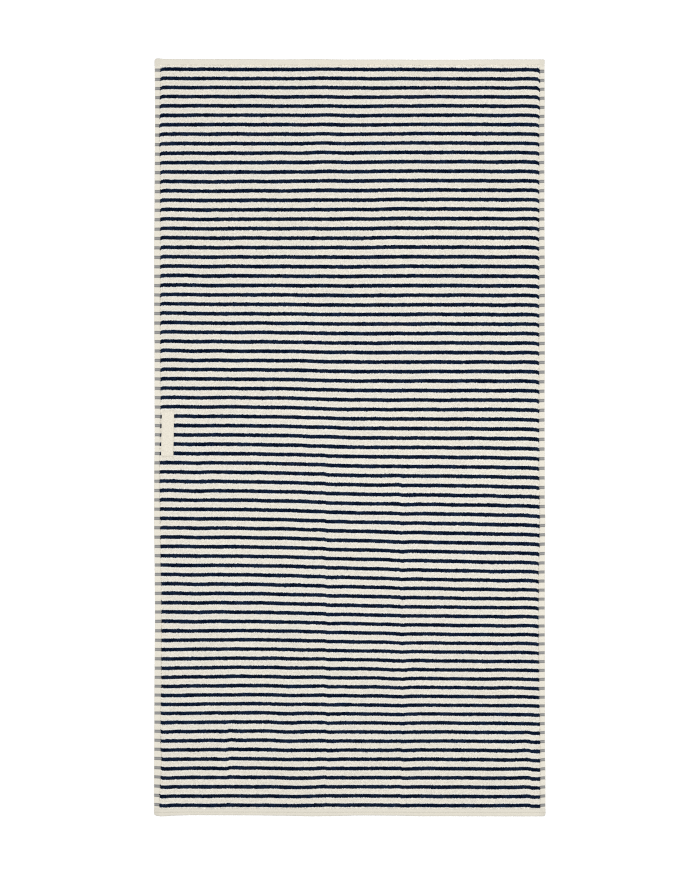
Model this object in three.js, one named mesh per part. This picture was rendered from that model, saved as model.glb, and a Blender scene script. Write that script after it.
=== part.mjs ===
// Striped terry bath towel, spread out flat with its face up.
// Millimetres, +Z up. X runs across the width and Y along the length, and the origin
// is on the surface that the towel lies on, under the middle of the cloth.
import * as THREE from "three";

// Driving dimensions of the cloth
const clothWidth = 700;
const clothLength = 1356;
const cornerRadius = 5;
const pileThickness = 4.2;
const flatThickness = 1.3;
const sideBorder = 11.6;
const shoulderWidth = 3;

// The cloth's rim is rounded over this width, from this share of its thickness
const rimWidth = 1.5;
const rimShare = 0.55;

// The two end hems: how far each is turned in, where it is stitched, and where the pile starts
const hemThickness = 2.6;
const hemEase = 0.6;
const topHem = { depth: 10.2, stitch: 9, pileStart: 10.8 };
const bottomHem = { depth: 8, stitch: 6.5, pileStart: 13.6 };
const stitchDip = 0.5;
const stitchHalfWidth = 0.6;

// The woven label, which is sewn down on the face and sits in the pile
const label = {
  width: 22,
  length: 81,
  thickness: 1,
  fromLeftEdge: 24.3,
  alongLength: 6.8,
  tilt: THREE.MathUtils.degToRad(-1),
  press: 1.2,
  margin: 1.4,
  slope: 4,
};
const seatGap = 0.3;

// Soft creases that are left in the pile from folding, each along the length
const creaseHalfWidth = 9;
const creaseFade = 60;
const creases = [
  { x: -219, from: -590, to: -520, depth: 0.4 },
  { x: -31, from: -615, to: -25, depth: 0.5 },
  { x: 105, from: -650, to: -75, depth: 0.5 },
];

// How far each edge wanders out of a straight line, at places along that edge
const leftEdge = [
  { at: -616, out: 1 },
  { at: -473, out: 0.5 },
  { at: -329, out: -0.6 },
  { at: -258, out: -0.7 },
  { at: -186, out: 0 },
  { at: -79, out: 0.8 },
  { at: 100, out: -0.4 },
  { at: 243, out: 0.7 },
  { at: 458, out: 0.5 },
  { at: 673, out: -0.5 },
];
const rightEdge = [
  { at: -616, out: 0.6 },
  { at: -400, out: 0.3 },
  { at: -258, out: 0 },
  { at: -186, out: 0.2 },
  { at: -115, out: 1 },
  { at: -40, out: 0.1 },
  { at: 100, out: -0.1 },
  { at: 300, out: 0.3 },
  { at: 600, out: -0.4 },
];
const topEdge = [
  { at: -340, out: 1 },
  { at: -310, out: 0.4 },
  { at: -230, out: 0.4 },
  { at: -31, out: 0 },
  { at: 55, out: -1 },
  { at: 112, out: -1.2 },
  { at: 170, out: -1 },
  { at: 198, out: -0.3 },
  { at: 284, out: 0 },
  { at: 341, out: 0.3 },
];
const bottomEdge = [
  { at: -346, out: 0.4 },
  { at: -317, out: -0.4 },
  { at: -288, out: -0.9 },
  { at: -230, out: -0.7 },
  { at: -90, out: 0.4 },
  { at: 25, out: -0.2 },
  { at: 112, out: 0.4 },
  { at: 225, out: 0 },
  { at: 325, out: 1 },
];

// Spacing of the stations over the open field, and the closest that two may come
const columnSpacing = 56;
const rowSpacing = 60;
const closestStations = 0.35;

const halfWidth = clothWidth / 2;
const halfLength = clothLength / 2;
const labelX = label.fromLeftEdge - halfWidth;
const labelZ = pileThickness - label.press + seatGap;

// Reads an edge's table at one place, easing from each row to the next
function wander(edge, at) {
  const next = edge.findIndex((row) => row.at > at);
  if (next === 0) {
    return edge[0].out;
  }
  if (next < 0) {
    return edge[edge.length - 1].out;
  }
  const before = edge[next - 1];
  const after = edge[next];
  const part = THREE.MathUtils.smoothstep(at, before.at, after.at);
  return THREE.MathUtils.lerp(before.out, after.out, part);
}

// Distances in from an edge where the cloth's form changes: its round rim, its corner
// arc, its flat weave or hem, and the round shoulder of the pile
function rimSteps() {
  return [0, rimWidth / 3, rimWidth, cornerRadius * 0.6, cornerRadius];
}

function shoulderSteps(start) {
  return [0, 0.13, 0.4, 1].map((part) => start + part * shoulderWidth);
}

function hemSteps(hem) {
  return [
    hem.stitch - stitchHalfWidth,
    hem.stitch,
    hem.stitch + stitchHalfWidth,
    hem.depth,
    hem.depth + hemEase,
  ];
}

function evenSteps(from, to, spacing) {
  const count = Math.round((to - from) / spacing);
  const steps = [];
  for (let k = 0; k <= count; k++) {
    steps.push(THREE.MathUtils.lerp(from, to, k / count));
  }
  return steps;
}

// Sorts stations and drops any that comes too close behind another
function stations(list) {
  const sorted = [...list].sort((a, b) => a - b);
  return sorted.filter((value, k) => k === 0 || value - sorted[k - 1] > closestStations);
}

function columnStations() {
  const inner = sideBorder + shoulderWidth;
  const labelHalf = label.width / 2 + label.margin;
  const list = evenSteps(inner - halfWidth, halfWidth - inner, columnSpacing);
  for (const step of [...rimSteps(), ...shoulderSteps(sideBorder)]) {
    list.push(step - halfWidth, halfWidth - step);
  }
  for (const crease of creases) {
    list.push(crease.x - creaseHalfWidth, crease.x, crease.x + creaseHalfWidth);
  }
  list.push(labelX + labelHalf, labelX + labelHalf + label.slope);
  return stations(list);
}

function rowStations() {
  const lowest = bottomHem.pileStart + shoulderWidth - halfLength;
  const highest = halfLength - topHem.pileStart - shoulderWidth;
  const labelHalf = label.length / 2 + label.margin;
  const list = evenSteps(lowest, highest, rowSpacing);
  for (const [hem, side] of [[topHem, 1], [bottomHem, -1]]) {
    for (const step of [...rimSteps(), ...hemSteps(hem), ...shoulderSteps(hem.pileStart)]) {
      list.push(side * (halfLength - step));
    }
  }
  for (const side of [-1, 1]) {
    list.push(label.alongLength + side * labelHalf);
    list.push(label.alongLength + side * (labelHalf + label.slope));
  }
  return stations(list);
}

// The pile's height over the flat weave, rounded down to it at the field's edges
function pileHeight(fromSide, fromEnd, hem) {
  const inside = Math.min(fromSide - sideBorder, fromEnd - hem.pileStart);
  if (inside <= 0) {
    return 0;
  }
  const part = 1 - Math.min(inside / shoulderWidth, 1);
  const rise = Math.sqrt(1 - part * part);
  return THREE.MathUtils.lerp(flatThickness, pileThickness, rise);
}

// The turned hem's height, with the dip that its row of stitches draws in
function hemHeight(fromEnd, hem) {
  if (fromEnd >= hem.depth + hemEase) {
    return 0;
  }
  const dip = 1 - Math.min(Math.abs(fromEnd - hem.stitch) / stitchHalfWidth, 1);
  return hemThickness - stitchDip * dip;
}

// How far the sewn label holds the pile down at a place
function labelPress(x, y) {
  const pastSide = Math.abs(x - labelX) - label.width / 2 - label.margin;
  const pastEnd = Math.abs(y - label.alongLength) - label.length / 2 - label.margin;
  const past = Math.max(pastSide, pastEnd, 0);
  return label.press * Math.max(1 - past / label.slope, 0);
}

// How far the fold creases lower the pile at a place
function creaseDip(x, y) {
  let dip = 0;
  for (const crease of creases) {
    const across = Math.max(1 - Math.abs(x - crease.x) / creaseHalfWidth, 0);
    const past = Math.max(crease.from - y, y - crease.to, 0);
    dip += crease.depth * across * Math.max(1 - past / creaseFade, 0);
  }
  return dip;
}

function surfaceHeight(x, y) {
  const fromSide = halfWidth - Math.abs(x);
  const fromEnd = halfLength - Math.abs(y);
  const hem = y > 0 ? topHem : bottomHem;
  const pile = pileHeight(fromSide, fromEnd, hem) - creaseDip(x, y) - labelPress(x, y);
  const thickness = Math.max(flatThickness, hemHeight(fromEnd, hem), pile);
  const fromRim = Math.min(fromSide, fromEnd, rimWidth);
  return thickness * THREE.MathUtils.lerp(rimShare, 1, Math.sqrt(fromRim / rimWidth));
}

// Moves a place on the straight-edged cloth to where it lies: round the corners,
// then in or out with the four edges
function placeOnCloth(x, y) {
  const past = new THREE.Vector2(
    Math.abs(x) - halfWidth + cornerRadius,
    Math.abs(y) - halfLength + cornerRadius,
  );
  const pull = new THREE.Vector2(0, 0);
  if (past.x > 0 && past.y > 0) {
    const round = Math.max(past.x, past.y) / past.length();
    pull.copy(past).multiplyScalar(1 - round);
  }
  const across = (x + halfWidth) / clothWidth;
  const along = (y + halfLength) / clothLength;
  const sideShift = THREE.MathUtils.lerp(-wander(leftEdge, y), wander(rightEdge, y), across);
  const endShift = THREE.MathUtils.lerp(-wander(bottomEdge, x), wander(topEdge, x), along);
  return new THREE.Vector2(
    x - Math.sign(x) * pull.x + sideShift,
    y - Math.sign(y) * pull.y + endShift,
  );
}

// One closed sheet: a grid of the top's stations, a wall down from its rim, and a flat
// underside over the same rim
function clothGeometry() {
  const columns = columnStations();
  const rows = rowStations();
  const points = [];
  for (const y of rows) {
    for (const x of columns) {
      const place = placeOnCloth(x, y);
      points.push(new THREE.Vector3(place.x, place.y, surfaceHeight(x, y)));
    }
  }
  const index = (column, row) => row * columns.length + column;
  const lastColumn = columns.length - 1;
  const lastRow = rows.length - 1;
  const faces = [];
  for (let row = 0; row < lastRow; row++) {
    for (let column = 0; column < lastColumn; column++) {
      const a = index(column, row);
      const b = index(column + 1, row);
      const c = index(column + 1, row + 1);
      const d = index(column, row + 1);
      faces.push(a, b, c, a, c, d);
    }
  }

  // The rim runs anticlockwise seen from above
  const rim = [];
  for (let column = 0; column < lastColumn; column++) {
    rim.push(index(column, 0));
  }
  for (let row = 0; row < lastRow; row++) {
    rim.push(index(lastColumn, row));
  }
  for (let column = lastColumn; column > 0; column--) {
    rim.push(index(column, lastRow));
  }
  for (let row = lastRow; row > 0; row--) {
    rim.push(index(0, row));
  }
  const base = points.length;
  for (const upper of rim) {
    points.push(new THREE.Vector3(points[upper].x, points[upper].y, 0));
  }
  rim.forEach((upper, k) => {
    const after = (k + 1) % rim.length;
    faces.push(base + k, base + after, rim[after], base + k, rim[after], upper);
  });
  const outline = points.slice(base).map((point) => new THREE.Vector2(point.x, point.y));
  for (const [a, b, c] of THREE.ShapeUtils.triangulateShape(outline, [])) {
    faces.push(base + a, base + c, base + b);
  }

  const geometry = new THREE.BufferGeometry().setFromPoints(points);
  geometry.setIndex(faces);
  geometry.computeVertexNormals();
  return geometry;
}

function clothMesh() {
  const cotton = new THREE.MeshStandardMaterial({
    color: 0xeae5d8,
    roughness: 0.95,
    metalness: 0,
  });
  const mesh = new THREE.Mesh(clothGeometry(), cotton);
  mesh.name = "towel_cloth";
  return mesh;
}

function labelMesh() {
  const tape = new THREE.MeshStandardMaterial({
    color: 0xe9e3d6,
    roughness: 0.8,
    metalness: 0,
  });
  const geometry = new THREE.BoxGeometry(label.width, label.length, label.thickness);
  geometry.translate(0, 0, label.thickness / 2);
  const mesh = new THREE.Mesh(geometry, tape);
  mesh.name = "side_label";
  mesh.position.set(labelX, label.alongLength, labelZ);
  mesh.rotation.z = label.tilt;
  return mesh;
}

const towel = new THREE.Group();
towel.add(clothMesh(), labelMesh());

export default towel;
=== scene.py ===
import math

import bmesh
import bpy
import numpy as np
from mathutils import Matrix


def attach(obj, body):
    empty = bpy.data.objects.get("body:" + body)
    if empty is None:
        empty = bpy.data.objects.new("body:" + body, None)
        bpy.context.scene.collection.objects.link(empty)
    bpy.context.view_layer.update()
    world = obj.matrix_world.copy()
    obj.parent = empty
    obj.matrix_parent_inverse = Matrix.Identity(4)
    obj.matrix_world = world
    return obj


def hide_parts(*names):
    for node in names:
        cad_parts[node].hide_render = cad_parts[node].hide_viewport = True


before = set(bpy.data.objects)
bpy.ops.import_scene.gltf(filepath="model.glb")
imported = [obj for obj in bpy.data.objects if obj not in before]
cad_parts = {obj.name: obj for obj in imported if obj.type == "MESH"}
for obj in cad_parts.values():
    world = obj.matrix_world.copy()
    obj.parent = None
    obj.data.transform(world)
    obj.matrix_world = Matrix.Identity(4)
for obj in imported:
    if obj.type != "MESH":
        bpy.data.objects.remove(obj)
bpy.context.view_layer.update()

# The studio. One camera straight above the middle of the towel, a wide lamp overhead, a
# weak and very soft light from the upper left, even pale surroundings, and a white floor that
# is lit until it is pure white, so that the towel lies on it as if it were cut out.
FACE_HEIGHT = 0.004  # metres from the floor to the face of the towel
PICTURE_LENGTH = 1.568  # metres along the picture's long side, at the towel's face
CAMERA_RIGHT = 0.0007  # metres that the camera stands right of the towel's middle

scene = bpy.context.scene
camera_data = bpy.data.cameras.new("camera_above")
camera_data.lens = 100
camera_data.sensor_width = 36
camera_data.clip_end = 50
camera = bpy.data.objects.new("camera_above", camera_data)
camera_height = FACE_HEIGHT + PICTURE_LENGTH * camera_data.lens / camera_data.sensor_width
camera.location = (CAMERA_RIGHT, 0, camera_height)
scene.collection.objects.link(camera)
scene.camera = camera

window_data = bpy.data.lights.new("soft_window", "SUN")
window_data.energy = 0.35
window_data.angle = math.radians(60)
window = bpy.data.objects.new("soft_window", window_data)
window.rotation_euler = (math.radians(-22), math.radians(-22), 0)
scene.collection.objects.link(window)

overhead_data = bpy.data.lights.new("overhead_lamp", "AREA")
overhead_data.shape = "SQUARE"
overhead_data.size = 2.0
overhead_data.energy = 60.3
overhead = bpy.data.objects.new("overhead_lamp", overhead_data)
overhead.location = (0.22, 0.05, 2.7)
overhead.visible_camera = False
scene.collection.objects.link(overhead)

surroundings = bpy.data.worlds.new("pale_surroundings")
surroundings.use_nodes = True
surroundings_light = surroundings.node_tree.nodes["Background"]
surroundings_light.inputs["Color"].default_value = (1, 1, 1, 1)
surroundings_light.inputs["Strength"].default_value = 0.43
scene.world = surroundings
scene.view_settings.view_transform = "Standard"
scene.cycles.use_denoising = False  # the light is soft, and the loops stay crisp
scene.cycles.filter_width = 1.15

floor_mesh = bpy.data.meshes.new("studio_floor")
floor_shape = bmesh.new()
bmesh.ops.create_grid(floor_shape, x_segments=1, y_segments=1, size=15)
floor_shape.to_mesh(floor_mesh)
floor_shape.free()
floor_paint = bpy.data.materials.new("white_floor_paint")
floor_paint.use_nodes = True
floor_shader = floor_paint.node_tree.nodes["Principled BSDF"]
floor_shader.inputs["Base Color"].default_value = (0.96, 0.96, 0.96, 1)
floor_shader.inputs["Roughness"].default_value = 1
floor_shader.inputs["Specular IOR Level"].default_value = 0
floor_mesh.materials.append(floor_paint)
studio_floor = bpy.data.objects.new("studio_floor", floor_mesh)
scene.collection.objects.link(studio_floor)


# The woven ground. One length of plain cotton weave, cream warp with navy weft where the
# stripes are, which holds the loops of both faces. It shows bare along the two sides and next
# to the ends, and each end is turned under twice into a flat hem of three layers.
CLOTH_WIDTH = 700  # all sizes of the towel are in millimetres
CLOTH_LENGTH = 1356
CORNER_RADIUS = 5
SHARP_CORNER_RADIUS = 2  # the top right corner's
GROUND_THICKNESS = 0.8
SIDE_BORDER = dict(left=11.5, right=10.7)
FIRST_STRIPE = 659.5  # the middle of the highest stripe, from the towel's middle
STRIPE_PITCH = 16.685

# The end hems. How far each is turned in, where it is stitched and where the pile starts, all
# from the cloth's edge; the groove that its stitches draw in; and the height of their thread
TOP_HEM = dict(
    depth=10.2, stitch=9, pile_start=10.8, groove_depth=0.1, groove_width=0.8, thread_level=2.4
)
BOTTOM_HEM = dict(
    depth=8.0, stitch=5.4, pile_start=13.6, groove_depth=0.95, groove_width=0.9, thread_level=1.7
)

# Heights of the middles of a hem's three layers, the height that tells its top layer from
# those below it, and how much shorter than the hem the innermost layer is
HEM_LEVELS = dict(top=2.1, middle=1.25, bottom=0.4)
TOP_LAYER_FROM = 1.7
TUCK_SHORTER = 3.2

# Heights of the middle of the single ground weave, and the distances in from an edge over
# which it rises from each to the next. The right border is narrower and rises sooner.
GROUND_LEVELS = dict(rim=0.62, border=0.92, bottom_band=1.65, field=2.1)
RIM_RISE = (0, 8)
BORDER_RISE = (8.5, 14)
BOTTOM_BAND_RISE = (10.5, 14.5)
HEM_RISE = 2.5
RIGHT_SOONER = 1.2

# The part of the cloth that the pile covers, before it is laid out
FIELD = dict(
    left=SIDE_BORDER["left"] - CLOTH_WIDTH / 2,
    right=CLOTH_WIDTH / 2 - SIDE_BORDER["right"],
    low=BOTTOM_HEM["pile_start"] - CLOTH_LENGTH / 2,
    high=CLOTH_LENGTH / 2 - TOP_HEM["pile_start"],
)

# How far the cloth's edges bulge outwards, at the bulges and hollows of each edge
LEFT_EDGE = dict(
    at=(-670, -640, -500, -330, -250, -150, -60, -15, 160, 210, 340, 400, 600, 660),
    out=(0.5, 0.9, 0.3, -0.7, -0.4, 0.8, 0.6, -0.3, 0, 0.8, 0.7, 0, -0.9, -0.5),
)
RIGHT_EDGE = dict(
    at=(-600, -550, -240, -150, -100, 80, 160, 210, 250, 400, 520, 610, 670),
    out=(1.1, 0.4, 0.1, 1, 0.1, -0.2, 0.4, -0.2, 0.4, -0.4, -0.6, -0.1, -0.5),
)
TOP_EDGE = dict(
    at=(-345, -330, -300, -175, -120, -65, -10, 60, 130, 200, 230, 340),
    out=(1.8, 0.6, 0.3, 0.4, -0.2, 0.4, -0.3, -0.3, -0.6, -0.6, -0.2, -0.1),
)
BOTTOM_EDGE = dict(
    at=(-348, -335, -310, -280, -180, -120, -65, -40, 20, 90, 125, 340),
    out=(-0.1, 1.1, -0.4, -1, -0.7, -0.1, 1.1, 0.8, -0.5, -0.2, 0.9, 1.2),
)

# How far the pile's two side edges wander outwards over the borders, at stripes counted from
# the top, and the distances from the cloth's edge between which they take over from it
LEFT_PILE = dict(
    at=(0, 7, 11, 26, 35, 44, 52, 56, 66, 70, 73, 74, 75, 79),
    out=(0.3, 2, 0.5, 0.5, 0, 1.6, 0.1, -1.8, -1.3, -0.3, -0.3, -1.8, -0.8, 2.2),
    takes_over=(1, 10),
)
RIGHT_PILE = dict(
    at=(0, 4, 6, 20, 42, 47, 50, 53, 60, 66, 70, 73, 79),
    out=(1.3, 1.2, 0.1, -0.1, -0.1, 1.1, 0.5, -0.9, -1, -0.1, 1.4, 1.9, 1.9),
    takes_over=(1, 9),
)

# Distances from the towel's middle: where its stripes stop sagging, because the hems hold
# them, and where the bulges of its two ends start
SAG_END = 661
SAG_FADE = 6
END_BULGE = (666, 678)

# How far the stripes sag below their even places, along five lines down the towel: the cloth
# was smoothed out by hand and lies a little slack towards the lower right
SAG_STRIPES = (0, 4, 10, 17, 25, 35, 45, 52, 58, 64, 71, 79)
SAG_LINES = (
    dict(across=-332, down=(-0.5, -1.5, 0, 1, 2.5, 3.5, 3.5, 3.5, 4.5, 5, 2, 0.5)),
    dict(across=-167, down=(0, -1.5, 0, 1.5, 3.5, 4.5, 5, 5, 5, 3.5, 1, 0.5)),
    dict(across=1, down=(0, -0.5, -0.5, 1.5, 5, 8, 10, 9.5, 9, 6, 2.5, 0)),
    dict(across=170, down=(0.5, -1.5, -1.5, 0.5, 4.5, 8.5, 12, 13.5, 12, 8, 2.5, 1)),
    dict(across=330, down=(1, -0.5, -0.5, 1.5, 5.5, 9.5, 15.5, 16.5, 13.5, 9.5, 4.5, 1.5)),
)

# How far the side borders, which wove tighter than the pile, have slipped along it, and how
# much further down the outermost loops hook next to them. The slip dies away inwards over
# SLIP_REACH, and the hook between the two distances of HOOK_REACH.
LEFT_SLIP = dict(
    stripe=(0, 8, 12, 20, 32, 44, 55, 65, 72, 79),
    down=(1.4, 1.3, 1.1, 1.2, 0.7, 0.4, 0.3, 0, -1.1, -1.5),
    hook=(0.85, 0.85, 0.8, 0.6, 1, 0.4, 0, 0, 0, 0),
)
RIGHT_SLIP = dict(
    stripe=(0, 1, 4, 8, 12, 20, 32, 45, 58, 65, 75, 79),
    down=(2, 1.9, 0.9, 0.2, 0, -0.5, 0, -0.1, 0.1, -0.1, -0.9, -0.9),
    hook=(1.2, 2.2, 2.1, 1.9, 2, 2.6, 1.7, 1.3, 1.4, 0.5, 1, 1),
)
SLIP_REACH = 1.4
HOOK_REACH = (0.3, 4.3)

# Soft ripples lengthwise that smoothing by hand has left in the stripes, each fading in and
# out over twice RIPPLE_FADE
RIPPLES = (
    dict(across=-45, half_width=45, start=430, end=690, down=-0.9),
    dict(across=-255, half_width=60, start=180, end=480, down=0.7),
    dict(across=-275, half_width=40, start=-350, end=180, down=0.6),
    dict(across=-95, half_width=65, start=-230, end=170, down=-0.6),
    dict(across=85, half_width=60, start=270, end=540, down=-0.5),
    dict(across=85, half_width=20, start=-540, end=-130, down=0.9),
    dict(across=-110, half_width=40, start=-690, end=-400, down=1.1),
    dict(across=310, half_width=30, start=-690, end=690, down=-0.6),
    dict(across=250, half_width=80, start=-150, end=150, down=-0.5),
    dict(across=280, half_width=35, start=-520, end=-400, down=-0.7),
    dict(across=-335, half_width=25, start=-690, end=-500, down=0.7),
    dict(across=-40, half_width=30, start=-100, end=30, down=-0.8),
    dict(across=75, half_width=30, start=-560, end=-400, down=0.7),
    dict(across=-75, half_width=40, start=-690, end=-540, down=0.7),
    dict(across=-200, half_width=50, start=100, end=280, down=0.5),
)
RIPPLE_FADE = 40

# Heights of the faint waves all over, which are too many to place one by one
SLANTED_WAVE = 0.22
LENGTHWISE_WAVE = 0.16

# Where old folds have left the stripes stepped, and the form of such a step across the width:
# it rises over its middle, sinks back beyond it, and lies in a wide and shallow hollow
FOLD_STEPS = (
    dict(across=-43, start=-620, end=-20, step=1.1),
    dict(across=91, start=-655, end=-70, step=1.2),
    dict(across=-219, start=-600, end=-520, step=-1.6),
    dict(across=322, start=-665, end=-530, step=1.4),
)
FOLD_RISE = 2.5
FOLD_SINK = (2, 32)
FOLD_HOLLOW = dict(share=0.4, before=30, beyond=32)
FOLD_FADE = 25


def eased(low, high, at):
    """0 below low, 1 above high, and a soft rise between."""
    u = np.clip((at - low) / (high - low), 0, 1)
    return u * u * (3 - 2 * u)


def within(start, end, fade, at):
    """1 from start to end, with a soft fall to 0 over this distance past both."""
    return eased(start - fade, start, at) * (1 - eased(end, end + fade, at))


def ridge(middle, half_width, at):
    """1 at the middle, with a soft fall to 0 at this distance on both sides."""
    return eased(0, 1, 1 - np.abs(at - middle) / half_width)


def eased_line(table, at):
    """Eases from each value of a table to the next; past its ends it stays level."""
    places = np.asarray(table["at"], float)
    values = np.asarray(table["out"], float)
    k = np.clip(np.searchsorted(places, at, side="right") - 1, 0, len(places) - 2)
    return values[k] + (values[k + 1] - values[k]) * eased(places[k], places[k + 1], at)


def cubic(u, gap, start, end, leaving, arriving):
    """A curve over one gap, with u from 0 to 1, between two values and their slopes."""
    return (
        (2 * u**3 - 3 * u**2 + 1) * start
        + (u**3 - 2 * u**2 + u) * gap * leaving
        + (3 * u**2 - 2 * u**3) * end
        + (u**3 - u**2) * gap * arriving
    )


def smooth_line(places, values, at):
    """Reads a smooth curve through the values of a table; past its ends it stays level."""
    places = np.asarray(places, float)
    values = np.asarray(values, float)
    at = np.clip(at, places[0], places[-1])
    slopes = np.gradient(values, places)
    k = np.clip(np.searchsorted(places, at, side="right") - 1, 0, len(places) - 2)
    gap = places[k + 1] - places[k]
    u = (at - places[k]) / gap
    return cubic(u, gap, values[k], values[k + 1], slopes[k], slopes[k + 1])


def stripes_down(along):
    """How many stripes below the first one a place is, as an array or as a Shade."""
    return (FIRST_STRIPE - along) / STRIPE_PITCH


def line_sag(across, along):
    """The sag at each point of a smooth surface through the five lines of the table."""
    stripe = stripes_down(along)
    lines = [smooth_line(SAG_STRIPES, line["down"], stripe) for line in SAG_LINES]
    places = [line["across"] for line in SAG_LINES]
    last = len(places) - 1
    at = np.clip(across, places[0], places[last])
    sag = np.zeros_like(at)
    for k in range(last):
        before = max(k - 1, 0)
        after = min(k + 2, last)
        gap = places[k + 1] - places[k]
        leaving = (lines[k + 1] - lines[before]) / (places[k + 1] - places[before])
        arriving = (lines[after] - lines[k]) / (places[after] - places[k])
        curve = cubic((at - places[k]) / gap, gap, lines[k], lines[k + 1], leaving, arriving)
        inside = (at >= places[k]) & ((at < places[k + 1]) | (k + 1 == last))
        sag = np.where(inside, curve, sag)
    return sag


def stripe_sag(across, along):
    """How far the cloth lies below its even place at points of the open field."""
    sag = line_sag(across, along)
    for fold in FOLD_STEPS:
        past = across - fold["across"]
        step = eased(-FOLD_RISE, FOLD_RISE, past) * (1 - eased(*FOLD_SINK, past))
        hollow = FOLD_HOLLOW["share"] * eased(-FOLD_HOLLOW["before"], 0, past)
        hollow = hollow * (1 - eased(0, FOLD_HOLLOW["beyond"], past))
        inside = within(fold["start"], fold["end"], FOLD_FADE, along)
        sag += fold["step"] * inside * (step - hollow)
    for ripple in RIPPLES:
        near = ridge(ripple["across"], ripple["half_width"], across)
        start = ripple["start"] + RIPPLE_FADE
        end = ripple["end"] - RIPPLE_FADE
        sag += ripple["down"] * near * within(start, end, 2 * RIPPLE_FADE, along)
    sag += SLANTED_WAVE * np.sin(along / 11 + across / 47) * np.sin(across / 29 - along / 83)
    sag += LENGTHWISE_WAVE * np.sin(across / 13 + 2.1 * np.sin(along / 37))
    return sag


def border_slip(across, along):
    """How far the side borders pull the cloth down next to them."""
    stripe = stripes_down(along)
    slipped = np.zeros_like(across)
    for table, inwards in (
        (LEFT_SLIP, across - FIELD["left"]),
        (RIGHT_SLIP, FIELD["right"] - across),
    ):
        slip = smooth_line(table["stripe"], table["down"], stripe)
        slipped += slip * np.exp(-np.maximum(inwards, 0) / SLIP_REACH)
        hook = smooth_line(table["stripe"], table["hook"], stripe)
        slipped += hook * np.exp(np.minimum(inwards, 0)) * (1 - eased(*HOOK_REACH, inwards))
    return slipped


def corner_pull(across, along):
    """How far the round corners draw points in towards the middle, along both axes."""
    radius = np.where((across > 0) & (along > 0), SHARP_CORNER_RADIUS, CORNER_RADIUS)
    past_side = np.clip(np.abs(across) - CLOTH_WIDTH / 2 + radius, 0, None)
    past_end = np.clip(np.abs(along) - CLOTH_LENGTH / 2 + radius, 0, None)
    reach = np.maximum(np.hypot(past_side, past_end), 1e-9)
    in_corner = (past_side > 0) & (past_end > 0)
    share = np.where(in_corner, 1 - np.maximum(past_side, past_end) / reach, 0)
    return np.sign(across) * share * past_side, np.sign(along) * share * past_end


def side_bulge(edge, pile, inside, y, stripe):
    """How far one side moves out: with the cloth's edge, and further inside with the pile's."""
    outer = eased_line(edge, y)
    return outer + (eased_line(pile, stripe) - outer) * eased(*pile["takes_over"], inside)


def lay_out(across, along):
    """Where points of the even cloth come to lie on the floor."""
    half_width = CLOTH_WIDTH / 2
    pull_x, pull_y = corner_pull(across, along)
    part = (along + CLOTH_LENGTH / 2) / CLOTH_LENGTH
    end_bulge = eased_line(TOP_EDGE, across) * part - eased_line(BOTTOM_EDGE, across) * (1 - part)
    y = along - pull_y + end_bulge * eased(*END_BULGE, np.abs(along))
    field = within(-SAG_END, SAG_END, SAG_FADE, along)
    y -= (stripe_sag(across, along) + border_slip(across, along)) * field
    stripe = stripes_down(along)
    left = side_bulge(LEFT_EDGE, LEFT_PILE, half_width + across, y, stripe)
    right = side_bulge(RIGHT_EDGE, RIGHT_PILE, half_width - across, y, stripe)
    part = (across + half_width) / CLOTH_WIDTH
    return across - pull_x + right * part - left * (1 - part), y


def ground_level(across, along):
    """Height of the middle of the single ground weave, which the loops below hold up."""
    rim, border = GROUND_LEVELS["rim"], GROUND_LEVELS["border"]
    band, field = GROUND_LEVELS["bottom_band"], GROUND_LEVELS["field"]
    from_side = CLOTH_WIDTH / 2 + across
    from_side = np.minimum(from_side, CLOTH_WIDTH / 2 - across + RIGHT_SOONER)
    from_top = CLOTH_LENGTH / 2 - along
    from_bottom = CLOTH_LENGTH / 2 + along
    side = rim + (border - rim) * eased(*RIM_RISE, from_side)
    side = side + (field - border) * eased(*BORDER_RISE, from_side)
    level = np.minimum(side, band + (field - band) * eased(*BOTTOM_BAND_RISE, from_bottom))
    hem = 1 - eased(TOP_HEM["depth"], TOP_HEM["depth"] + HEM_RISE, from_top)
    hem += 1 - eased(BOTTOM_HEM["depth"], BOTTOM_HEM["depth"] + HEM_RISE, from_bottom)
    return level + (HEM_LEVELS["top"] - level) * hem


def hem_turns(depth):
    """The radii of a hem's outer and inner turn, and how far out the outer one starts."""
    outer = (HEM_LEVELS["top"] - HEM_LEVELS["bottom"]) / 2
    inner = (HEM_LEVELS["middle"] - HEM_LEVELS["bottom"]) / 2
    return outer, inner, depth - GROUND_THICKNESS / 2 - outer


def turned_hem(run, depth):
    """The path of a turned end: run is the cloth's length past the hem's inner line.
    Returns how far each point lies beyond that line, and its height."""
    top, bottom = HEM_LEVELS["top"], HEM_LEVELS["bottom"]
    outer, inner, turn_at = hem_turns(depth)
    outer_end = turn_at + math.pi * outer
    inner_start = outer_end + turn_at - inner
    inner_end = inner_start + math.pi * inner
    round_outer = np.clip((run - turn_at) / outer, 0, math.pi)
    round_inner = np.clip((run - inner_start) / inner, 0, math.pi)
    out = np.where(run < turn_at, run, turn_at + outer * np.sin(round_outer))
    out = np.where(run > outer_end, turn_at - (run - outer_end), out)
    out = np.where(run > inner_start, inner - inner * np.sin(round_inner), out)
    out = np.where(run > inner_end, inner + (run - inner_end), out)
    height = np.where(run < outer_end, top - outer * (1 - np.cos(round_outer)), bottom)
    height = np.where(run > inner_start, bottom + inner * (1 - np.cos(round_inner)), height)
    return out, height


def hem_run(depth):
    """Cloth taken up by a hem past its inner line."""
    outer, inner, turn_at = hem_turns(depth)
    return 2 * turn_at + math.pi * (outer + inner) - inner + (depth - TUCK_SHORTER)


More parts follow.
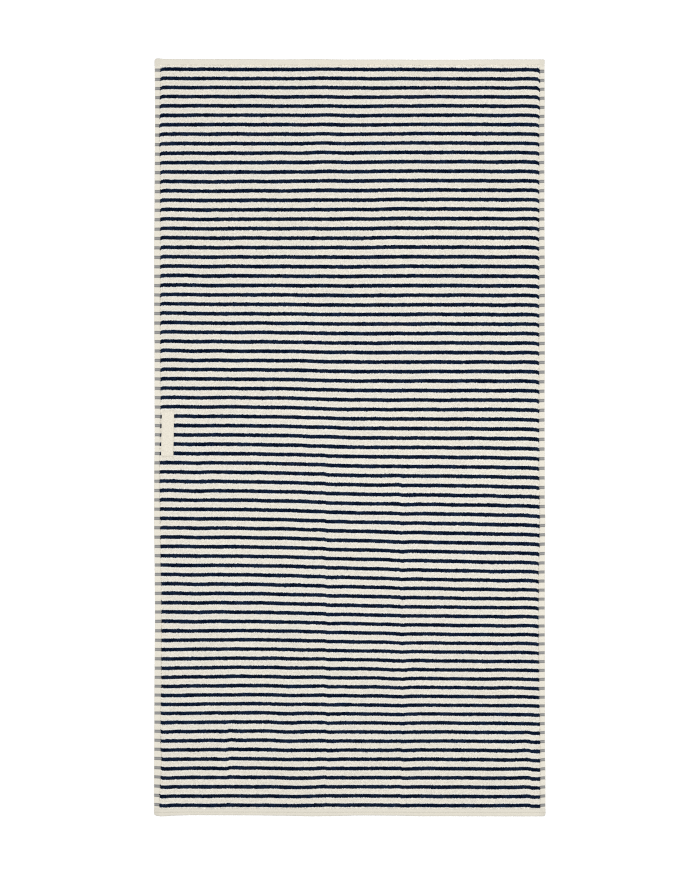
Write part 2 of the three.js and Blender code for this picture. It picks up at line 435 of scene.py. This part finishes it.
def stations(low, high, spacing, edge_steps):
    """Places of a grid's rows: evenly spaced, and closer together by both edges."""
    steps = np.asarray(edge_steps, float)
    count = round((high - low - 2 * steps[-1]) / spacing)
    even = np.linspace(low + steps[-1], high - steps[-1], count + 1)[1:-1]
    return np.concatenate([low + steps, even, high - steps[::-1]])


def map_corners(mesh, across, along):
    """Notes the places on the cloth that the corners of a mesh's faces take their dye from."""
    places = np.stack([across, along], axis=1) / 1000
    mesh.uv_layers["cloth"].uv.foreach_set("vector", places.astype(np.float32).ravel())


def cloth_grid(name, across, along):
    """A flat sheet with its rows and columns at the given places of the cloth. Its UV map
    keeps those places, in metres, so that a dye follows the cloth wherever it is moved."""
    shape = bmesh.new()
    bmesh.ops.create_grid(
        shape, x_segments=len(across) - 1, y_segments=len(along) - 1, size=0.5
    )
    mesh = bpy.data.meshes.new(name)
    shape.to_mesh(mesh)
    shape.free()
    mesh.polygons.foreach_set("use_smooth", np.ones(len(mesh.polygons), bool))
    points_across = np.tile(across, len(along))
    points_along = np.repeat(along, len(across))
    corners = np.zeros(len(mesh.loops), int)
    mesh.loops.foreach_get("vertex_index", corners)
    mesh.uv_layers.new(name="cloth")
    map_corners(mesh, points_across[corners], points_along[corners])
    return mesh, points_across, points_along


def move_points(mesh, x, y, z):
    """Puts a mesh's points at places given in millimetres."""
    mesh.vertices.foreach_set("co", (np.stack([x, y, z], axis=1) / 1000).ravel())
    mesh.update()


def finished_piece(name, mesh, dye):
    """Shows a mesh as a piece of the towel with its dye."""
    mesh.materials.clear()
    mesh.materials.append(dye)
    piece = bpy.data.objects.new(name, mesh)
    scene.collection.objects.link(piece)
    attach(piece, "root")
    return piece


class Shade:
    """A number, colour or vector that varies over a surface. Sums on it add Math nodes."""

    def __init__(self, tree, socket):
        self.tree = tree
        self.socket = socket

    def node(self, kind, values, output=0, **settings):
        made = self.tree.nodes.new(kind)
        for name, value in settings.items():
            setattr(made, name, value)
        for place, value in values.items():
            if isinstance(value, Shade):
                self.tree.links.new(value.socket, made.inputs[place])
            else:
                made.inputs[place].default_value = value
        return Shade(self.tree, made.outputs[output])

    def math(self, operation, *values):
        return self.node("ShaderNodeMath", dict(enumerate(values)), operation=operation)

    def __add__(self, other):
        return self.math("ADD", self, other)

    def __radd__(self, other):
        return self.math("ADD", other, self)

    def __sub__(self, other):
        return self.math("SUBTRACT", self, other)

    def __rsub__(self, other):
        return self.math("SUBTRACT", other, self)

    def __mul__(self, other):
        return self.math("MULTIPLY", self, other)

    def __rmul__(self, other):
        return self.math("MULTIPLY", other, self)

    def __truediv__(self, other):
        return self.math("DIVIDE", self, other)

    def __rtruediv__(self, other):
        return self.math("DIVIDE", other, self)

    def sine(self):
        return self.math("SINE", self)

    def size(self):
        return self.math("ABSOLUTE", self)

    def whole(self):
        return self.math("ROUND", self)

    def under(self, limit):
        return self.math("LESS_THAN", self, limit)

    def rise(self, low, high):
        """0 below low, 1 above high, and a soft rise between."""
        values = {"Value": self, "From Min": low, "From Max": high}
        return self.node("ShaderNodeMapRange", values, interpolation_type="SMOOTHSTEP")

    def noise(self, scale, detail):
        """Soft random blotches at these places, with this many to the metre."""
        return self.node("ShaderNodeTexNoise", {"Vector": self, "Scale": scale, "Detail": detail})

    def part(self, axis):
        return self.node("ShaderNodeSeparateXYZ", {0: self}, output=axis)

    def blend(self, first, second):
        """The first colour where this is 0 and the second where it is 1."""
        first, second = (c if isinstance(c, Shade) else (*c, 1) for c in (first, second))
        return self.node(
            "ShaderNodeMix", {0: self, 6: first, 7: second}, output=2, data_type="RGBA"
        )

    def times(self, colour):
        """A colour made lighter or darker by this number."""
        grey = self.node("ShaderNodeCombineXYZ", {0: self, 1: self, 2: self})
        return self.node("ShaderNodeVectorMath", {0: grey, 1: colour}, operation="MULTIPLY")

    def feed(self, shader, name):
        """Leads this into one of a shader's inputs."""
        self.tree.links.new(self.socket, shader.inputs[name])


STUDIO_LIGHT = 1.17  # what a white surface sends back in the studio


def dyed(red, green, blue):
    """The reflectance of a colour that is to look like this, out of 255, in the studio."""
    seen = [value / 255 for value in (red, green, blue)]
    light = [v / 12.92 if v <= 0.04045 else ((v + 0.055) / 1.055) ** 2.4 for v in seen]
    return tuple(v / STUDIO_LIGHT for v in light)


def cotton(name):
    """A new cotton material: its principled shader, and the cloth's places as a Shade."""
    material = bpy.data.materials.new(name)
    material.use_nodes = True
    tree = material.node_tree
    shader = tree.nodes["Principled BSDF"]
    shader.inputs["Roughness"].default_value = 0.95
    shader.inputs["Specular IOR Level"].default_value = 0.02
    shader.inputs["Sheen Weight"].default_value = 0.03
    shader.inputs["Sheen Roughness"].default_value = 0.5
    places = Shade(tree, None).node("ShaderNodeUVMap", {}, output="UV", uv_map="cloth")
    return material, shader, places


def raise_relief(shader, height, depth, strength):
    """Gives the shader a relief of this height map."""
    values = {"Height": height, "Distance": depth, "Strength": strength}
    height.node("ShaderNodeBump", values).feed(shader, "Normal")


def off_stripe(along):
    """How far places, as a Shade, are from the middle of the nearest stripe."""
    nearest = stripes_down(along).whole()
    return (along - (FIRST_STRIPE - nearest * STRIPE_PITCH)).size()


# Distances between the weave's threads; from a stripe's middle, where its navy weft fades and
# where its fine lines lie; and from the towel's middle, where the stripes stop and fade at
# the cloth's rim, and where the hems and their corners start to be greyer
WARP_PITCH = 0.95
WEFT_PITCH = 0.8
NAVY_WEFT_FADE = (2.3, 3.5)
FINE_LINE = 1.9
FINE_LINE_FADE = (0.2, 1.3)
STRIPES_STOP = 665
RIM_FADE = (348.9, 349.9)
TOP_BAND = (664, 668)
BOTTOM_BAND = (662, 666)
CORNER_BAND = (336, 341)


def flat_woven_cotton():
    """Plain weave: cream threads both ways, and navy weft in each stripe, which the cream
    warp over it turns grey, with two fine darker lines where the weft lies loosest."""
    material, shader, cloth = cotton("flat_woven_cotton")
    across = cloth.part(0) * 1000
    along = cloth.part(1) * 1000
    from_stripe = off_stripe(along)
    in_stripe = (1 - from_stripe.rise(*NAVY_WEFT_FADE)) * along.size().under(STRIPES_STOP)
    in_stripe = in_stripe * (1 - across.size().rise(*RIM_FADE) * 0.7)
    fine_lines = (1 - (from_stripe - FINE_LINE).size().rise(*FINE_LINE_FADE)) * 0.3
    warp_ridge = (across * (2 * math.pi / WARP_PITCH)).sine()
    weft_ridge = (along * (2 * math.pi / WEFT_PITCH)).sine()
    relief = warp_ridge * weft_ridge * 0.5 + 0.5
    uneven_thread = cloth.noise(700, 3)
    uneven_weave = cloth.noise(45, 2)
    # Painted shade: the weave is a little darker in the hollows between its raised threads, after
    # the same relief that gives its bumps.
    tone = 0.93 + relief * 0.05 + uneven_thread * 0.09 + (uneven_weave - 0.5) * 0.05
    top_band = along.rise(*TOP_BAND)
    bottom_band = (0 - along).rise(*BOTTOM_BAND)
    tone = tone * (1 - (top_band + bottom_band) * across.size().rise(*CORNER_BAND) * 0.05)
    tone = tone * (1 - top_band * 0.03 - bottom_band * 0.07)
    cream = tone.times(dyed(237, 232, 218))
    grey = (tone * (1.08 - fine_lines)).times(dyed(154, 154, 153))
    in_stripe.blend(cream, grey).feed(shader, "Base Color")
    raise_relief(shader, relief + uneven_thread * 0.4, 0.00025, 0.5)
    return material


# The weave's mesh: its columns, and its rows through the bottom hem, the field and the top hem
side_steps = (0, 0.6, 1.5, 3, 5, 8, 9.5, 11, 12.5, 14, 17, 21)
hem_steps = (0, 1, 2.5, 4, 6, 8, 11)
ground_columns = stations(
    -CLOTH_WIDTH / 2, CLOTH_WIDTH / 2, spacing=11, edge_steps=side_steps
)
top_line = CLOTH_LENGTH / 2 - TOP_HEM["depth"]
bottom_line = -CLOTH_LENGTH / 2 + BOTTOM_HEM["depth"]
top_run = hem_run(TOP_HEM["depth"])
bottom_run = hem_run(BOTTOM_HEM["depth"])
top_rows = top_line + np.linspace(0, top_run, num=46)[1:]
bottom_rows = bottom_line - np.linspace(0, bottom_run, num=40)[:0:-1]
field_rows = stations(bottom_line, top_line, spacing=9, edge_steps=hem_steps)
ground_rows = np.concatenate([bottom_rows, field_rows, top_rows])
ground_mesh, across, along = cloth_grid("ground_weave", ground_columns, ground_rows)

# Both ends are turned under, the cloth is laid out, and the seams' grooves are drawn in
top_out, top_height = turned_hem(along - top_line, TOP_HEM["depth"])
bottom_out, bottom_height = turned_hem(bottom_line - along, BOTTOM_HEM["depth"])
laid_along = np.where(along > top_line, top_line + top_out, along)
laid_along = np.where(along < bottom_line, bottom_line - bottom_out, laid_along)
x, y = lay_out(across, laid_along)
z = ground_level(across, along)
z = np.where(along > top_line, top_height, z)
z = np.where(along < bottom_line, bottom_height, z)
in_top_layer = (z > TOP_LAYER_FROM) * 1.0
for hem, from_end in (
    (TOP_HEM, CLOTH_LENGTH / 2 - laid_along),
    (BOTTOM_HEM, CLOTH_LENGTH / 2 + laid_along),
):
    from_seam = (from_end - hem["stitch"]) / hem["groove_width"]
    z -= hem["groove_depth"] * in_top_layer * np.exp(-(from_seam**2))
move_points(ground_mesh, x, y, z)
ground_weave = finished_piece("ground_weave", ground_mesh, flat_woven_cotton())
ground_wall = ground_weave.modifiers.new("weave_thickness", "SOLIDIFY")
ground_wall.thickness = GROUND_THICKNESS / 1000
ground_wall.offset = 0
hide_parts("towel_cloth")


# The looped pile of the face. Cotton loops that stand on the ground weave, cream, and navy in
# each stripe. They end in a rounded shoulder along the bare borders, and lie lower in the
# soft creases of old folds and under the label.
SHOULDER = 2.8  # width of the pile's rounded edge
SHOULDER_STEPS = (0, 0.35, 1.1, 2.6)
RIM_HEIGHT = 0.35  # of the pile at its very edge
SLOW_LUMPS = 0.08  # height of the soft and wide unevenness of the pile
EDGE_LOOP = 1.2  # width of the outermost loops, which are pushed in and out by EDGE_PUSH
EDGE_PUSH = 0.35

# Soft creases that folding has left in the pile
CREASES = (
    dict(across=-219, start=-590, end=-520, depth=0.4),
    dict(across=-31, start=-615, end=-25, depth=0.5),
    dict(across=105, start=-650, end=-75, depth=0.5),
)
CREASE_HALF_WIDTH = 9
CREASE_FADE = 60

# The label's size, place and turn, and how far it presses the pile down: fully as far as a
# margin round it, and less and less down the slope past that
LABEL = dict(width=21.8, length=81.8, across=-326.2, along=7.2, tilt=math.radians(-1), press=1.2)
LABEL_MARGIN = 1.4
LABEL_SLOPE = 4

# A loop's size; from a stripe's middle, where its navy loops end, how ragged that edge is,
# and where the paler cream beside them ends; and from the middle of the pile, where the
# outermost loops of the sides and ends start to be painted lighter, against the shade that
# falls on the pile's rounded shoulder
LOOP_SIZE = 1.05
NAVY_END = (3.23, 3.76)
RAGGED = 1.8
PALE_END = (4.5, 6.1)
LEFT_PAINTED_LIGHT = (335.5, 338.5)
RIGHT_PAINTED_LIGHT = (336, 339)
ENDS_PAINTED_LIGHT = (663, 665.5)


def looped_cotton_terry():
    """Loops of yarn, each with a chance tone of its own, with painted shade in the gaps between
    them.
    """
    material, shader, cloth = cotton("looped_cotton_terry")
    loops = cloth.node(
        "ShaderNodeTexVoronoi",
        {"Vector": cloth, "Scale": 1000 / LOOP_SIZE, "Randomness": 0.9},
        output="Position",
        voronoi_dimensions="2D",
    )
    from_loop = Shade(cloth.tree, loops.socket.node.outputs["Distance"])
    loop_chance = Shade(cloth.tree, loops.socket.node.outputs["Color"])
    ragged_edge = off_stripe(loops.part(1) * 1000) + (cloth.noise(100, 3) - 0.5) * RAGGED
    navy_loop = 1 - ragged_edge.rise(*NAVY_END)
    soft_tufts = cloth.noise(380, 2)
    slow_tone = cloth.noise(12, 4)
    wide_navy_blotches = cloth.noise(60, 6)
    across = cloth.part(0) * 1000
    along = cloth.part(1) * 1000
    painted_light_left = (0 - across).rise(*LEFT_PAINTED_LIGHT)
    painted_light_right = across.rise(*RIGHT_PAINTED_LIGHT)
    painted_light_ends = (along - (FIELD["low"] + FIELD["high"]) / 2).size().rise(*ENDS_PAINTED_LIGHT)
    # Painted shade: each cream loop's colour darkens towards the gaps between the loops.
    painted_gap_shade = 1 - from_loop.rise(0.35, 0.75) * 0.22
    cream_tone = (0.865 + loop_chance.part(0) * 0.31) * painted_gap_shade + (slow_tone - 0.5) * 0.1
    # Painted light: the outermost loops are made lighter, the ends most, then the left side, then
    # the right, to offset the shade on the pile's rounded shoulder.
    cream_tone = cream_tone * (1 + painted_light_left * 0.18 + painted_light_right * 0.1 + painted_light_ends * 0.24)
    beside_navy = 1 - ragged_edge.rise(*PALE_END)
    cream = beside_navy.blend(dyed(236, 230, 216), dyed(240, 239, 231))
    # The navy loops' random tone is partly the yarn's uneven dye and partly painted highlights on
    # the loops, whose shine is nearly turned off.
    navy_tone = 0.34 + (loop_chance.part(1) - 0.5) * 0.5 + (soft_tufts - 0.5) * 1.2
    # Painted shade: each navy loop is also darker towards the gaps between the loops.
    navy_tone = navy_tone + (wide_navy_blotches - 0.5) * 1.6 - from_loop.rise(0.3, 0.75) * 0.25
    navy = navy_tone.blend(dyed(0, 9, 31), dyed(32, 48, 74))
    navy_loop.blend(cream_tone.times(cream), navy).feed(shader, "Base Color")
    raise_relief(shader, (1 - from_loop * from_loop) + soft_tufts * 0.8, 0.0005, 0.5)
    return material


def pile_relief(across, along):
    """How far creases and the sewn label hold the pile down."""
    down = np.zeros_like(across)
    for crease in CREASES:
        near = ridge(crease["across"], CREASE_HALF_WIDTH, across)
        down += crease["depth"] * near * within(crease["start"], crease["end"], CREASE_FADE, along)
    past = np.maximum(
        np.abs(across - LABEL["across"]) - LABEL["width"] / 2 - LABEL_MARGIN,
        np.abs(along - LABEL["along"]) - LABEL["length"] / 2 - LABEL_MARGIN,
    )
    return down + LABEL["press"] * (1 - eased(0, LABEL_SLOPE, past))


def close_below(mesh, base):
    """Gives a sheet a wall down from its rim, and one flat face over the foot of that wall."""
    shape = bmesh.new()
    shape.from_mesh(mesh)
    rim = [edge for edge in shape.edges if edge.is_boundary]
    wall = bmesh.ops.extrude_edge_only(shape, edges=rim)["geom"]
    for vertex in (part for part in wall if isinstance(part, bmesh.types.BMVert)):
        vertex.co.z = base / 1000
    foot = [part for part in wall if isinstance(part, bmesh.types.BMEdge) and part.is_boundary]
    under = bmesh.ops.contextual_create(shape, geom=foot)["faces"]
    cloth_map = shape.loops.layers.uv["cloth"]
    for corner in (corner for face in under for corner in face.loops):
        other = next(c for c in corner.vert.link_loops if c.face is not corner.face)
        corner[cloth_map].uv = other[cloth_map].uv
    bmesh.ops.recalc_face_normals(shape, faces=shape.faces)
    shape.to_mesh(mesh)
    shape.free()


def pile_slab(name, spacing, tips, base, lumps, seed):
    """A closed layer of pile, from the flat base that its loops stand on, up or down to
    their tips, which make a lumpy surface with rounded shoulders."""
    columns = stations(FIELD["left"], FIELD["right"], spacing, SHOULDER_STEPS)
    rows = stations(FIELD["low"], FIELD["high"], spacing, SHOULDER_STEPS)
    mesh, across, along = cloth_grid(name, columns, rows)
    from_side = np.minimum(across - FIELD["left"], FIELD["right"] - across)
    from_end = np.minimum(along - FIELD["low"], FIELD["high"] - along)
    inside = np.minimum(from_side, from_end)
    shoulder = np.sqrt(1 - (1 - np.clip(inside / SHOULDER, 0, 1)) ** 2)
    chance = np.random.default_rng(seed)
    uneven = lumps * chance.uniform(-1, 1, len(across))
    uneven += SLOW_LUMPS * np.sin(across / 7 + 3 * np.sin(along / 17)) * np.sin(along / 9)
    side = 1 if tips > base else -1
    body = abs(tips - base) - (pile_relief(across, along) if side > 0 else 0)
    height = base + side * (RIM_HEIGHT + (body - RIM_HEIGHT + uneven) * shoulder)
    x, y = lay_out(across, along)
    # The outermost loops are pushed in and out a little, so that the edge isn't a ruled line
    push = chance.uniform(-EDGE_PUSH, EDGE_PUSH, len(across))
    push = push * (1 - np.clip(inside / EDGE_LOOP, 0, 1))
    x += np.where(from_side < EDGE_LOOP, push, 0)
    y += np.where(from_end < EDGE_LOOP, push, 0)
    move_points(mesh, x, y, height)
    close_below(mesh, base)
    return mesh


terry = looped_cotton_terry()
face_mesh = pile_slab("face_pile", spacing=3.15, tips=4.05, base=1.75, lumps=0.05, seed=11)
face_pile = finished_piece("face_pile", face_mesh, terry)


# The looped pile of the underside, which the towel lies on. The same yarns and the same
# stripes as the face, pressed flatter by the towel's own weight.
back_mesh = pile_slab("back_pile", spacing=5.2, tips=0.22, base=2.4, lumps=0.1, seed=12)
back_pile = finished_piece("back_pile", back_mesh, terry)


# The outermost loops. Along all four edges of the face's pile nothing holds the last row
# of loops up, so each leans out over the flat weave and shows as a loop of yarn.
RIM_YARN = dict(radius=0.34, bend=0.55, stretch=2.1)  # bent to half a ring, and drawn out

# How far apart and how far in from the pile's edge they stand, how far each may be off its
# place, and the ranges of their lean and swing, in degrees and radians, size and root's height
RIM_LOOPS = dict(step=1.8, inset=0.4, wander=0.35)
RIM_LEAN = (25, 60)
RIM_SWING = 0.6
RIM_SIZE = (0.8, 1.15)
RIM_ROOT = (2.0, 2.5)


def four_sides(left, right, low, high, start, step):
    """Places in rows along the left, right, lower and upper side of an oblong, the first of
    each row this far from its corner, and the number of the side that each place lies on."""
    upwards = np.arange(low + start, high, step)
    rightwards = np.arange(left + start, right, step)
    across = np.concatenate([np.repeat([left, right], len(upwards)), rightwards, rightwards])
    along = np.concatenate([upwards, upwards, np.repeat([low, high], len(rightwards))])
    return across, along, np.repeat([0, 1, 2, 3], [len(upwards)] * 2 + [len(rightwards)] * 2)


def in_a_row(name, shape, across, along):
    """Copies of one small shape as one mesh, one for each of these places on the cloth, which
    it takes its dye from. Returns the mesh, and the points of each copy as an array."""
    mesh = bpy.data.meshes.new(name)
    shape.to_mesh(mesh)
    shape.free()
    mesh.uv_layers.new(name="cloth")
    pattern = bpy.data.objects.new(name + "_pattern", mesh)
    scene.collection.objects.link(pattern)
    row = pattern.modifiers.new("row", "ARRAY")
    row.count = len(across)
    row.use_relative_offset = False
    seen = pattern.evaluated_get(bpy.context.evaluated_depsgraph_get())
    joined = bpy.data.meshes.new_from_object(seen)
    joined.name = name
    bpy.data.objects.remove(pattern)
    joined.polygons.foreach_set("use_smooth", np.ones(len(joined.polygons), bool))
    corners = len(joined.loops) // len(across)
    map_corners(joined, np.repeat(across, corners), np.repeat(along, corners))
    points = np.zeros(len(joined.vertices) * 3)
    joined.vertices.foreach_get("co", points)
    return joined, points.reshape(len(across), -1, 3) * 1000


def set_down(mesh, points, turn, x, y, z):
    """Turns the points of each copy in a row by its angle, and sets the copy down."""
    forward, sideways, up = (points[:, :, k] for k in range(3))
    turn, x, y, z = (value[:, None] for value in (turn, x, y, z))
    placed_x = x + forward * np.cos(turn) - sideways * np.sin(turn)
    placed_y = y + forward * np.sin(turn) + sideways * np.cos(turn)
    move_points(mesh, placed_x.ravel(), placed_y.ravel(), (z + up).ravel())


yarn = bmesh.new()
section = bmesh.ops.create_circle(
    yarn, segments=4, radius=RIM_YARN["radius"] / 1000, cap_ends=True
)
bmesh.ops.translate(yarn, verts=section["verts"], vec=(-RIM_YARN["bend"] / 1000, 0, 0))
bmesh.ops.spin(
    yarn,
    geom=yarn.verts[:] + yarn.edges[:] + yarn.faces[:],
    cent=(0, 0, 0),
    axis=(0, 1, 0),
    dvec=(0, 0, 0),
    angle=math.pi,
    steps=5,
)
bmesh.ops.scale(yarn, verts=yarn.verts, vec=(1, 1, RIM_YARN["stretch"]))
bmesh.ops.recalc_face_normals(yarn, faces=yarn.faces)

loop_across, loop_along, loop_side = four_sides(
    FIELD["left"] + RIM_LOOPS["inset"],
    FIELD["right"] - RIM_LOOPS["inset"],
    FIELD["low"] + RIM_LOOPS["inset"],
    FIELD["high"] - RIM_LOOPS["inset"],
    start=0,
    step=RIM_LOOPS["step"],
)
facing = np.array([math.pi, 0, -math.pi / 2, math.pi / 2])[loop_side]
loop_count = len(loop_across)
chance = np.random.default_rng(21)
loop_across += chance.uniform(-RIM_LOOPS["wander"], RIM_LOOPS["wander"], loop_count)
loop_along += chance.uniform(-RIM_LOOPS["wander"], RIM_LOOPS["wander"], loop_count)
lean = np.radians(chance.uniform(*RIM_LEAN, loop_count))[:, None]
facing = facing + chance.uniform(-RIM_SWING, RIM_SWING, loop_count)
loop_size = chance.uniform(*RIM_SIZE, loop_count)[:, None]
root_height = chance.uniform(*RIM_ROOT, loop_count)
loop_mesh, loop_points = in_a_row("rim_loops", yarn, loop_across, loop_along)
sideways, thick, up = (loop_points[:, :, k] * loop_size for k in range(3))
out = thick * np.cos(lean) + up * np.sin(lean)
up = up * np.cos(lean) - thick * np.sin(lean)
base_x, base_y = lay_out(loop_across, loop_along)
leaning = np.stack([out, -sideways, up], axis=2)
set_down(loop_mesh, leaning, facing, base_x, base_y, root_height)
rim_loops = finished_piece("rim_loops", loop_mesh, terry)


# The hems' stitching. A straight line of cream cotton lockstitch along each turned end,
# through all three layers, so that it shows on the face and on the underside.
HEM_STITCH = dict(length=2.6, radius=0.26, dip=0.3, pitch=3.1, from_side=3)
STITCH_WANDER = 0.12  # how far a stitch may be off its line, and how far turned, in radians
STITCH_SWING = 0.06
UNDERSIDE = dict(level=0.12, stands=-0.4)  # the underside's stitches are pressed flatter


def cream_sewing_thread():
    """Twisted cream cotton, a little uneven along its length."""
    material, shader, cloth = cotton("cream_sewing_thread")
    twist = cloth.noise(900, 2)
    (0.88 + twist * 0.2).times(dyed(229, 224, 209)).feed(shader, "Base Color")
    raise_relief(shader, twist, 0.0001, 0.3)
    return material


def one_stitch(size):
    """One stretch of thread of this size, along X, whose ends go down into the cloth."""
    length = size["length"]
    stitch = bmesh.new()
    bmesh.ops.create_cone(
        stitch,
        cap_ends=True,
        cap_tris=False,
        segments=6,
        radius1=size["radius"] / 1000,
        radius2=size["radius"] / 1000,
        depth=length / 1000,
        matrix=Matrix.Rotation(math.pi / 2, 4, "Y"),
    )
    for k in range(1, 5):
        bmesh.ops.bisect_plane(
            stitch,
            geom=stitch.verts[:] + stitch.edges[:] + stitch.faces[:],
            plane_co=((k / 5 - 0.5) * length / 1000, 0, 0),
            plane_no=(1, 0, 0),
        )
    for vertex in stitch.verts:
        vertex.co.z -= size["dip"] / 1000 * (2000 * vertex.co.x / length) ** 2
    return stitch


sewing_thread = cream_sewing_thread()
top_seam = CLOTH_LENGTH / 2 - TOP_HEM["stitch"]
bottom_seam = -CLOTH_LENGTH / 2 + BOTTOM_HEM["stitch"]
seam_rows = (
    dict(along=top_seam, level=TOP_HEM["thread_level"], stands=1),
    dict(along=top_seam, **UNDERSIDE),
    dict(along=bottom_seam, level=BOTTOM_HEM["thread_level"], stands=1),
    dict(along=bottom_seam, **UNDERSIDE),
)
seam_end = CLOTH_WIDTH / 2 - HEM_STITCH["from_side"]
seam_places = np.arange(-seam_end, seam_end, HEM_STITCH["pitch"])
stitch_across = np.tile(seam_places, len(seam_rows))
stitch_along, stitch_level, stitch_stands = (
    np.repeat([row[value] for row in seam_rows], len(seam_places))
    for value in ("along", "level", "stands")
)
chance = np.random.default_rng(31)
stitch_along = stitch_along + chance.uniform(-STITCH_WANDER, STITCH_WANDER, len(stitch_across))
stitch_mesh, stitch_points = in_a_row(
    "hem_stitches", one_stitch(HEM_STITCH), stitch_across, stitch_along
)
stitch_points[:, :, 2] *= stitch_stands[:, None]
base_x, base_y = lay_out(stitch_across, stitch_along)
over_x, over_y = lay_out(stitch_across + 1, stitch_along)
turn = np.arctan2(over_y - base_y, over_x - base_x)
turn = turn + chance.uniform(-STITCH_SWING, STITCH_SWING, len(stitch_across))
set_down(stitch_mesh, stitch_points, turn, base_x, base_y, stitch_level)
hem_stitches = finished_piece("hem_stitches", stitch_mesh, sewing_thread)


# The woven label. A narrow bare tape of closely woven cream cotton, its two ends turned
# under, laid on the face along the left border and pressed a little into the pile.
TAPE = dict(thickness=0.4, level=3.95, turned=7, turn_radius=0.3, warp_pitch=0.3, weft_pitch=0.42)

# The seam's stitches, how far in from the tape's edge and how deep in it they lie, how the
# seam draws the tape down, and how the tape puffs up inside it, with a faint ripple
LABEL_STITCH = dict(length=1.9, radius=0.16, dip=0.2, pitch=2.4, start=1.2, inset=1.7, sunk=0.05)
TAPE_SEAM = dict(dip=0.12, width=(0.3, 1.4))
TAPE_PUFF = dict(height=0.28, from_edge=(1.2, 6), ripple=0.06)


def woven_label_tape():
    """Fine, close cream weave, a little smoother than the towel's."""
    material, shader, cloth = cotton("woven_label_tape")
    across = cloth.part(0) * 1000
    along = cloth.part(1) * 1000
    weft = (along * (2 * math.pi / TAPE["weft_pitch"])).sine() * 0.5 + 0.5
    warp = (across * (2 * math.pi / TAPE["warp_pitch"])).sine() * 0.5 + 0.5
    fuzz = cloth.noise(380, 3)
    # Painted shade: the tape is a little darker between its threads, after the same weave that
    # gives its bumps.
    tone = 0.68 + weft * 0.04 + warp * 0.03 + fuzz * 0.58
    tone.times(dyed(235, 229, 214)).feed(shader, "Base Color")
    raise_relief(shader, weft * warp + fuzz * 0.6, 0.00012, 0.4)
    shader.inputs["Roughness"].default_value = 0.8
    return material


def on_label(sideways, lengthways):
    """Turns places on the label, from its middle, to places on the floor."""
    cos, sin = math.cos(LABEL["tilt"]), math.sin(LABEL["tilt"])
    return (
        LABEL["across"] + sideways * cos - lengthways * sin,
        LABEL["along"] + sideways * sin + lengthways * cos,
    )


radius = TAPE["turn_radius"]
half_width, half_length = LABEL["width"] / 2, LABEL["length"] / 2
straight = half_length - TAPE["thickness"] / 2 - radius
tape_columns = stations(
    -half_width, half_width, spacing=1.2, edge_steps=(0, 0.4, 1.0, 1.8)
)
straight_rows = np.linspace(-straight, straight, num=64)
turn_rows = np.linspace(0, TAPE["turned"] + math.pi * radius, num=16)[1:]
tape_rows = np.concatenate([-straight - turn_rows[::-1], straight_rows, straight + turn_rows])
tape_mesh, sideways, lengthways = cloth_grid("label_tape", tape_columns, tape_rows)
past = np.clip(np.abs(lengthways) - straight, 0, None)
angle = np.clip(past / radius, 0, math.pi)
reach = straight + radius * np.sin(angle) - np.clip(past - math.pi * radius, 0, None)
laid = np.sign(lengthways) * np.where(past > 0, reach, np.abs(lengthways))
from_edge = np.minimum(half_width - np.abs(sideways), half_length - np.abs(laid))
from_seam = np.abs(from_edge - LABEL_STITCH["inset"])
puff = TAPE_PUFF["height"] * eased(*TAPE_PUFF["from_edge"], from_edge)
puff -= TAPE_SEAM["dip"] * (1 - eased(*TAPE_SEAM["width"], from_seam))
puff += TAPE_PUFF["ripple"] * np.sin(laid / 6.5 + sideways / 9) * eased(0, 5, from_edge)
x, y = on_label(sideways, laid)
move_points(tape_mesh, x, y, TAPE["level"] - radius * (1 - np.cos(angle)) + puff)
label_tape = finished_piece("label_tape", tape_mesh, woven_label_tape())
tape_wall = label_tape.modifiers.new("tape_thickness", "SOLIDIFY")
tape_wall.thickness = TAPE["thickness"] / 1000
tape_wall.offset = 0
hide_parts("side_label")


# The label's stitching. One line of fine cream lockstitch, close to the tape's edge all
# the way round, that draws the tape down into the pile.
seam_half_width = half_width - LABEL_STITCH["inset"]
seam_half_length = half_length - LABEL_STITCH["inset"]
seam_sideways, seam_lengthways, seam_side = four_sides(
    -seam_half_width,
    seam_half_width,
    -seam_half_length,
    seam_half_length,
    start=LABEL_STITCH["start"],
    step=LABEL_STITCH["pitch"],
)
seam_mesh, seam_points = in_a_row(
    "label_stitches", one_stitch(LABEL_STITCH), seam_sideways, seam_lengthways
)
turn = np.array([math.pi / 2, math.pi / 2, 0, 0])[seam_side] + LABEL["tilt"]
base_x, base_y = on_label(seam_sideways, seam_lengthways)
seam_level = TAPE["level"] + TAPE["thickness"] / 2 - LABEL_STITCH["sunk"]
set_down(seam_mesh, seam_points, turn, base_x, base_y, np.full(len(turn), seam_level))
label_stitches = finished_piece("label_stitches", seam_mesh, sewing_thread)


# The lengths of cloth as cut, in metres: the ground weave's, before its hems were turned,
# and the label tape's, before its ends were turned under.
cut_length = CLOTH_LENGTH - TOP_HEM["depth"] - BOTTOM_HEM["depth"] + top_run + bottom_run
cut_length / 1000
tape_cut = 2 * (straight + turn_rows[-1])
tape_cut / 1000
